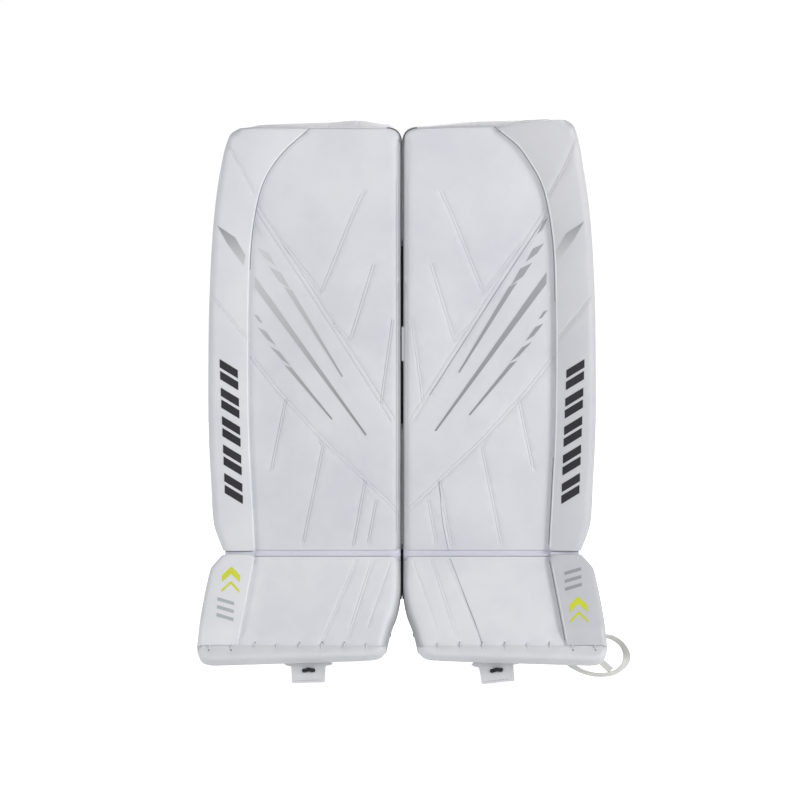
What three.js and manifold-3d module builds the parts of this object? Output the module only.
// A pair of ice hockey goalie leg pads, standing side by side as they are worn.
// Millimetres, +Z up, the faces look along -Y. The origin is the middle of the right leg's channel.
//
// Each pad is drawn once, in its own frame, and mirrored for the other leg:
//   u  across the pad, 0 at the inner edge and PAD_WIDTH at the outer edge
//   y  front to back, 0 at the flat face of the shin
//   z  up, 0 at the lowest point of the boot
// The boot and thigh sections are drawn straight, with z = 0 at their own break, then leaned forward.

import * as THREE from "three";
import { mergeVertices } from "three/addons/utils/BufferGeometryUtils.js";
import Module from "manifold-3d";

const wasm = await Module();
wasm.setup();

// ---------------------------------------------------------------- driving dimensions

const PAD_WIDTH = 279; // 11 in, the widest pad the rules allow
const PAD_GAP = 3; // between the two inner edges
const BREAK_Z = 160; // boot break: where boot and shin fold
const KNEE_Z = 540; // knee break: where shin and thigh rise fold
const BOOT_LEAN = 28; // degrees, toe forward of the shin
const BOOT_TOP_SLOPE = 0.27;
const BOOT_TOP_RISE = 12;
const THIGH_LEAN = 10; // degrees, thigh rise forward of the shin
const THIGH_LENGTH = 240;
const TOE_SEAM = 141; // boot break to the laced seam of the toe roll
const TOE_END = 162;

const GAP = 0.3; // between pieces that touch
const FOLD_GAP = 3; // foam stops this far from each break

const CORE_THICKNESS = 38;
const BOARD_THICKNESS = 3;
const THIGH_CORE_THICKNESS = 34;
const BOOT_CORE_THICKNESS = 36;
const ROLL_PROUD = 9; // outer roll in front of the face
const ROLL_U = 220; // inner edge of the outer roll
const BED_THICKNESS = 14;

const WING_THICKNESS = 10;
const WING_ROOT_Y = 47.5;
const WING_TIP_Y = 150;
const INNER_WING_U = 39; // middle of the wing's root
const OUTER_WING_U = 235;
const STRAP_THICKNESS = 3;
const STRAP_Y = 153; // front face of a strap at its ends
const STRAP_BULGE = 22; // how far a strap bows behind the calf
const BOOT_WING_TIP_Y = 112;

const CHANNEL = { u: 141, y: 100, z: 320 }; // middle of the leg channel

const BACK_Y = CORE_THICKNESS + GAP + BOARD_THICKNESS; // back of the shin's stiffener
const EDGE = 5; // rounding of foam edges

// ---------------------------------------------------------------- solids

function toSolid(geometry) {
  const bare = new THREE.BufferGeometry();
  const flat = geometry.index ? geometry.toNonIndexed() : geometry;
  bare.setAttribute("position", flat.getAttribute("position"));
  const merged = mergeVertices(bare, 1e-3);
  return new wasm.Manifold(
    new wasm.Mesh({
      numProp: 3,
      vertProperties: new Float32Array(merged.attributes.position.array),
      triVerts: new Uint32Array(merged.index.array),
    }),
  );
}

function toGeometry(solid) {
  const mesh = solid.getMesh();
  const geometry = new THREE.BufferGeometry();
  geometry.setAttribute("position", new THREE.BufferAttribute(mesh.vertProperties, 3));
  geometry.setIndex(new THREE.BufferAttribute(mesh.triVerts, 1));
  return geometry;
}

const cut = (body, tool) => toGeometry(toSolid(body).subtract(toSolid(tool)));
const common = (a, b) => toGeometry(toSolid(a).intersect(toSolid(b)));
const joined = (a, b) => toGeometry(toSolid(a).add(toSolid(b)));

const toShape = (points) => new THREE.Shape(points.map(([x, y]) => new THREE.Vector2(x, y)));

// Points of a smooth line through a few given ones.
function smooth(points, steps) {
  const curve = new THREE.SplineCurve(points.map(([x, y]) => new THREE.Vector2(x, y)));
  return curve.getPoints(steps).map((p) => [p.x, p.y]);
}

function extrude(points, depth, round = 0) {
  return new THREE.ExtrudeGeometry(toShape(points), {
    depth: depth - 2 * round,
    bevelEnabled: round > 0,
    bevelThickness: round,
    bevelSize: round,
    bevelOffset: -round,
    bevelSegments: 2,
  }).translate(0, 0, round);
}

// A slab with a (u, z) outline, from front to back.
function slab(outline, front, back, round = 0) {
  return extrude(outline, back - front, round).rotateX(Math.PI / 2).translate(0, back, 0);
}

// A bar with a (y, z) section, from u0 to u1.
function bar(section, u0, u1) {
  return extrude(section, u1 - u0)
    .applyMatrix4(new THREE.Matrix4().set(0, 0, 1, 0, 1, 0, 0, 0, 0, 1, 0, 0, 0, 0, 0, 1))
    .translate(u0, 0, 0);
}

// A standing band with a (u, y) section, from z0 to z1.
const band = (section, z0, z1) => extrude(section, z1 - z0).translate(0, 0, z0);

function block(u0, u1, y0, y1, z0, z1) {
  const box = new THREE.BoxGeometry(u1 - u0, y1 - y0, z1 - z0);
  return box.translate((u0 + u1) / 2, (y0 + y1) / 2, (z0 + z1) / 2);
}

const rectangle = (x0, x1, y0, y1) => [[x0, y0], [x1, y0], [x1, y1], [x0, y1]];

// A rectangle with arcs of radius r at its corners.
function roundedRectangle(x0, x1, y0, y1, r, steps = 3) {
  const centres = [[x1 - r, y0 + r], [x1 - r, y1 - r], [x0 + r, y1 - r], [x0 + r, y0 + r]];
  return centres.flatMap(([cx, cy], corner) =>
    Array.from({ length: steps + 1 }, (_, i) => {
      const angle = (corner - 1 + i / steps) * (Math.PI / 2);
      return [cx + r * Math.cos(angle), cy + r * Math.sin(angle)];
    }),
  );
}

function alongPath(points, section, steps) {
  const path = new THREE.CatmullRomCurve3(points.map((p) => new THREE.Vector3(...p)));
  return new THREE.ExtrudeGeometry(toShape(section), { steps, extrudePath: path });
}

const circle = (radius, sides) =>
  Array.from({ length: sides }, (_, i) => {
    const angle = (2 * Math.PI * i) / sides;
    return [radius * Math.cos(angle), radius * Math.sin(angle)];
  });

// ---------------------------------------------------------------- outlines

// Side view of the boot section: its top slopes up to the back, so the break opens less behind.
const bootSide = [
  [-20, -FOLD_GAP], [0, -FOLD_GAP], [60, -FOLD_GAP + 60 * BOOT_TOP_SLOPE], [60, -TOE_SEAM], [-20, -TOE_SEAM]];

const THIGH_TOP = THIGH_LENGTH - 4; // under the top binding
const shinOuterEdge = smooth(
  [[259, BREAK_Z + 4], [273, 205], [PAD_WIDTH - 0.5, 330], [PAD_WIDTH, 440], [278, KNEE_Z - FOLD_GAP]], 8);
const thighOuterEdge = smooth(
  [[278, FOLD_GAP], [273, 74], [266, 133], [256, 192], [247, 224], [232, THIGH_TOP]], 10);
const thighRollEdge = smooth(
  [[ROLL_U, FOLD_GAP], [214.5, 83], [199, 151], [171.5, 195.5], [131, THIGH_TOP]], 10);
const bootOuterEdge = smooth(
  [[259, -FOLD_GAP], [272, -19], [281, -56], [286, -87], [288, -TOE_SEAM]], 8);
const bootInnerEdge = smooth([[0, -FOLD_GAP], [0, -70], [4, -96], [16, -TOE_SEAM]], 8);
const toeOutline = [
  [16, -TOE_SEAM], [288, -TOE_SEAM], [284, -154], [272, -TOE_END], [44, -TOE_END], [26, -156]];
const bootRollTop = 217; // inner edge of the boot's outer roll at the break and at the toe
const bootRollFoot = 230;

const reversed = (points) => [...points].reverse();

// ---------------------------------------------------------------- materials

const material = (color, roughness, metalness = 0) =>
  new THREE.MeshStandardMaterial({ color, roughness, metalness });

const whiteLeather = material(0xd6d8dc, 0.5);
const blackLiner = material(0x17181b, 0.9);
const blackElastic = material(0x1b1c1f, 0.8);
const stiffener = material(0xe8e6dc, 0.45);
const greyWebbing = material(0xc9cac7, 0.75);
const whiteLace = material(0xe4e5e8, 0.8);
const blackPlastic = material(0x141416, 0.4);
const blackCord = material(0x101114, 0.7);

// ---------------------------------------------------------------- one pad

function mesh(name, geometry, finish) {
  const made = new THREE.Mesh(geometry, finish);
  made.name = name;
  return made;
}

// Foam core, stiffening board, leg bed and outer roll of the straight section over shin and knee.
function shinSection(name) {
  const top = KNEE_Z - FOLD_GAP;
  const foot = BREAK_Z + 4;
  const core = slab(rectangle(0, ROLL_U - GAP, foot, top), 0, CORE_THICKNESS, EDGE);
  const board = slab(
    roundedRectangle(10, 208, foot + 12, top - 8, 12), CORE_THICKNESS + GAP, BACK_Y);
  const bed = slab(
    roundedRectangle(52, 224, foot + 10, top - 8, 14), BACK_Y + GAP, BACK_Y + GAP + BED_THICKNESS);
  const roll = slab(
    [[ROLL_U, foot], ...shinOuterEdge, [ROLL_U, top]], -ROLL_PROUD, BACK_Y - 1, EDGE);
  const slide = slab(
    roundedRectangle(1.5, 20, foot + 16, 430, 6), BACK_Y + GAP, BACK_Y + 38, 3);
  return [
    mesh(name("shin_core"), core, whiteLeather),
    mesh(name("shin_board"), board, stiffener),
    mesh(name("leg_bed"), bed, blackLiner),
    mesh(name("shin_outer_roll"), roll, whiteLeather),
    mesh(name("calf_slide"), slide, whiteLeather),
  ];
}

// The stack that the inside of the knee lands on: a firm block with a soft pad facing the knee.
function kneeBlock(name) {
  const z0 = 440;
  const z1 = KNEE_Z - FOLD_GAP - 1;
  const firm = bar(roundedRectangle(BACK_Y + GAP, WING_TIP_Y, z0, z1, 14), 3, 36);
  const soft = bar(roundedRectangle(60, WING_TIP_Y - 6, z0 + 5, z1 - 5, 12), 36 + GAP, 58);
  return [
    mesh(name("knee_block"), firm, whiteLeather),
    mesh(name("knee_block_pad"), soft, blackLiner),
  ];
}

// The section above the knee, drawn from its break upwards.
function thighSection(name) {
  const boardBack = THIGH_CORE_THICKNESS + GAP + BOARD_THICKNESS;
  const coreTop = thighRollEdge.at(-1);
  const innerCorner = roundedRectangle(0, 60, 200, THIGH_TOP, 16).slice(8, 12); // its top left arc
  const core = slab(
    [[0, FOLD_GAP], ...thighRollEdge.map(([u, z]) => [u - GAP, z]), ...innerCorner],
    0, THIGH_CORE_THICKNESS);
  const roll = slab(
    [...thighRollEdge, [coreTop[0] + 20, coreTop[1]], ...reversed(thighOuterEdge)],
    -ROLL_PROUD, boardBack);
  const board = slab(
    roundedRectangle(12, 196, 12, 150, 14), THIGH_CORE_THICKNESS + GAP, boardBack);
  const liner = slab(
    [[20, 14], [250, 14], [246, 90], [228, 180], [200, 222], [28, 222], [20, 210]],
    boardBack + GAP, boardBack + GAP + 9, 3);
  const binding = slab(
    [[10, THIGH_TOP + GAP], [231, THIGH_TOP + GAP], [224, THIGH_LENGTH], [14, THIGH_LENGTH]],
    -4, boardBack + 4);
  const leaned = new THREE.Group();
  leaned.position.z = KNEE_Z;
  leaned.rotation.x = THREE.MathUtils.degToRad(THIGH_LEAN);
  leaned.add(
    mesh(name("thigh_core"), core, whiteLeather),
    mesh(name("thigh_board"), board, stiffener),
    mesh(name("thigh_liner"), liner, blackLiner),
    mesh(name("thigh_outer_roll"), roll, whiteLeather),
    mesh(name("top_binding"), binding, whiteLeather),
  );
  return leaned;
}

// The section over the skate, drawn from its break down to the toe.
function bootSection(name, showsLoop) {
  const seam = -TOE_SEAM;
  const raised = BOOT_TOP_RISE; // the outlines start higher, to be cut back along the sloping top
  const coreOutline = [
    ...bootInnerEdge.slice(1), [bootRollFoot - GAP, seam], [bootRollTop - GAP, raised], [0, raised]];
  const rollOutline = [
    [bootRollTop, raised], [bootRollFoot, seam], ...reversed(bootOuterEdge.slice(1)), [258, raised]];
  const core = common(slab(coreOutline, 0, BOOT_CORE_THICKNESS), bar(bootSide, -10, 300));
  const roll = common(
    slab(rollOutline, -ROLL_PROUD, BOOT_CORE_THICKNESS + 2), bar(bootSide, -10, 300));
  const liner = slab(
    roundedRectangle(54, 212, -132, -16, 10), BOOT_CORE_THICKNESS + 2 + GAP, 50);
  const toeSection = roundedRectangle(-3, 32, -TOE_END, seam - GAP, 8);
  const toe = common(bar(toeSection, 0, 300), slab(toeOutline, -20, 60));
  const lace = bar(
    circle(1.5, 8).map(([y, z]) => [y - 4.8, z + seam - 9]), 30, 272);

  // Ankle wings either side of the skate, and the strap that closes them behind it.
  const wingSide = roundedRectangle(BOOT_CORE_THICKNESS + 2 + GAP, BOOT_WING_TIP_Y, -118, -24, 18);
  const innerWing = bar(wingSide, INNER_WING_U - 5, INNER_WING_U + 5);
  const outerWing = bar(wingSide, OUTER_WING_U - 5, OUTER_WING_U + 5);
  const strapWidth = 25;
  const strapMiddle = -70;
  const strap = band(
    bowedStrap(BOOT_WING_TIP_Y + 3, 14, 2.4),
    strapMiddle - strapWidth / 2, strapMiddle + strapWidth / 2);
  const slider = threeBarSlider(strapMiddle, strapWidth);

  const leaned = new THREE.Group();
  leaned.position.z = BREAK_Z;
  leaned.rotation.x = -THREE.MathUtils.degToRad(BOOT_LEAN);
  leaned.add(
    mesh(name("boot_core"), core, whiteLeather),
    mesh(name("boot_outer_roll"), roll, whiteLeather),
    mesh(name("boot_liner"), liner, blackLiner),
    mesh(name("toe_roll"), toe, whiteLeather),
    mesh(name("toe_lacing"), lace, whiteLace),
    mesh(name("boot_inner_wing"), innerWing, whiteLeather),
    mesh(name("boot_outer_wing"), outerWing, whiteLeather),
    mesh(name("boot_strap"), strap, greyWebbing),
    mesh(name("boot_strap_slider"), slider, blackPlastic),
  );
  const loop = showsLoop ? looseLoop() : tuckedLoop();
  return [leaned, mesh(name("boot_strap_loop"), loop, greyWebbing)];
}

// Section of a strap that bows back from the outer wing to the inner one.
function bowedStrap(y, bulge, thickness) {
  const outerEnd = OUTER_WING_U + 6;
  const innerEnd = 14;
  const middle = (outerEnd + innerEnd) / 2;
  const arc = (offset) =>
    smooth([[outerEnd, y + offset], [middle + 64, y + offset + 0.78 * bulge], [middle, y + offset + bulge],
      [middle - 64, y + offset + 0.78 * bulge], [innerEnd, y + offset]], 12);
  return [...arc(0), ...reversed(arc(thickness))];
}

// Slider that the boot strap runs through.
function threeBarSlider(z, strapWidth) {
  const half = strapWidth / 2;
  const u = 127.5;
  const y = BOOT_WING_TIP_Y + 3 + 14 + 1.2;
  const frame = block(u - 9, u + 9, y - 4, y + 4, z - half - 4, z + half + 4);
  return cut(frame, block(u - 20, u + 20, y - 2.2, y + 2.2, z - half - 0.7, z + half + 0.7));
}

// The end of the boot webbing hanging out past the toe in a loop, with a tongue sewn to it.
function looseLoop() {
  const half = 5.5;
  const line = [
    [284, 38], [300, 36.5], [315, 26], [322, 9], [317, -6],
    [301, -15.5], [280, -17], [262, -12.5], [246, -4], [236, 3],
  ];
  const curve = new THREE.SplineCurve(line.map(([u, z]) => new THREE.Vector2(u, z)));
  const sides = [1, -1].map((side) =>
    curve.getSpacedPoints(28).map((p, i) => {
      const along = curve.getTangentAt(i / 28);
      return [p.x - side * half * along.y, p.y + side * half * along.x];
    }),
  );
  const ribbon = slab([...sides[1], ...reversed(sides[0])], -13, -11);
  const tongue = slab([[270, 14], [278.5, 21], [303, -9], [295, -15]], -13, -11);
  return joined(ribbon, tongue);
}

// The same end folded behind the toe, out of sight from the front.
function tuckedLoop() {
  return slab(roundedRectangle(244, 282, 4, 34, 12, 4), -13, -11);
}

// Leather tab below the toe, with the elastic cord that ties it to the skate.
const TAB = { u: 132, hingeY: -34, hingeZ: 16, foot: -22, thickness: 3, holeZ: -4, holeSpacing: 13 };

function toeTab(name) {
  const front = TAB.hingeY - TAB.thickness / 2;
  const outline = [
    [TAB.u - 25, TAB.hingeZ], [TAB.u - 23, TAB.foot], [TAB.u + 23, TAB.foot], [TAB.u + 25, TAB.hingeZ],
  ];
  let tab = slab(outline, front, front + TAB.thickness);
  const sides = [-1, 1];
  for (const side of sides) {
    const hole = new THREE.CylinderGeometry(3.1, 3.1, 20, 12);
    hole.translate(TAB.u + (side * TAB.holeSpacing) / 2, front, TAB.holeZ);
    tab = cut(tab, hole);
  }
  const half = TAB.holeSpacing / 2;
  const strand = (side) => [
    [TAB.u + side * half, front + 16, TAB.holeZ - 12],
    [TAB.u + side * half, front + 14, TAB.holeZ - 5],
    [TAB.u + side * half, front + 9, TAB.holeZ],
    [TAB.u + side * half, front + 2, TAB.holeZ],
    [TAB.u + side * half * 0.8, front - 3, TAB.holeZ],
  ];
  const cordLine = [...strand(-1), [TAB.u, front - 3.9, TAB.holeZ], ...reversed(strand(1))];
  const cord = alongPath(cordLine, circle(2.7, 8), 40);
  return [mesh(name("toe_tab"), tab, whiteLeather), mesh(name("toe_cord"), cord, blackCord)];
}

// A padded wing standing back from the pad, curling a little towards the leg.
function wing(u, towardsLeg, side) {
  const half = WING_THICKNESS / 2;
  const curl = 6 * towardsLeg;
  const line = [[u, WING_ROOT_Y], [u - curl / 2, 85], [u - curl / 3, 118], [u + curl, WING_TIP_Y]];
  const shifted = (d) => smooth(line.map(([a, b]) => [a + d, b]), 7);
  return common(band([...shifted(half), ...reversed(shifted(-half))], 100, 600), bar(side, -50, 350));
}

function wings(name) {
  const innerSide = [
    [WING_ROOT_Y, 186], [WING_ROOT_Y, 428], [130, 428], [WING_TIP_Y, 410], [WING_TIP_Y, 214], [132, 190]];
  const outerSide = [
    [WING_ROOT_Y, 186], [WING_ROOT_Y, 428], [120, 428], [WING_TIP_Y, 404], [WING_TIP_Y, 226], [124, 190]];
  const kneeSide = [
    [WING_ROOT_Y, 440], [WING_ROOT_Y, 534], [136, 534], [WING_TIP_Y, 520], [WING_TIP_Y, 458], [136, 440]];
  return [
    mesh(name("inner_calf_wing"), wing(INNER_WING_U, 1, innerSide), whiteLeather),
    mesh(name("outer_calf_wing"), wing(OUTER_WING_U, -1, outerSide), whiteLeather),
    mesh(name("outer_knee_wing"), wing(OUTER_WING_U, -1, kneeSide), whiteLeather),
  ];
}

// Elastic straps from the outer wings round behind the leg.
function straps(name) {
  const strap = (middle, width) =>
    band(bowedStrap(STRAP_Y, STRAP_BULGE, STRAP_THICKNESS), middle - width / 2, middle + width / 2);
  return [
    mesh(name("knee_strap"), strap(488, 50), blackElastic),
    mesh(name("upper_calf_strap"), strap(366, 38), blackElastic),
    mesh(name("lower_calf_strap"), strap(256, 38), blackElastic),
  ];
}

function pad(leg, showsLoop) {
  const name = (piece) => `${leg}_${piece}`;
  const group = new THREE.Group();
  group.add(
    ...shinSection(name),
    ...kneeBlock(name),
    thighSection(name),
    ...bootSection(name, showsLoop),
    ...toeTab(name),
    ...wings(name),
    ...straps(name),
  );
  return group;
}

// ---------------------------------------------------------------- the pair

const leftPad = pad("left", true);
leftPad.position.x = PAD_GAP / 2;

const rightPad = pad("right", false);
rightPad.position.x = -PAD_GAP / 2;
rightPad.scale.x = -1;

const pair = new THREE.Group();
pair.add(leftPad, rightPad);
pair.position.set(PAD_GAP / 2 + CHANNEL.u, -CHANNEL.y, -CHANNEL.z);

const pads = new THREE.Group();
pads.add(pair);

export default pads;
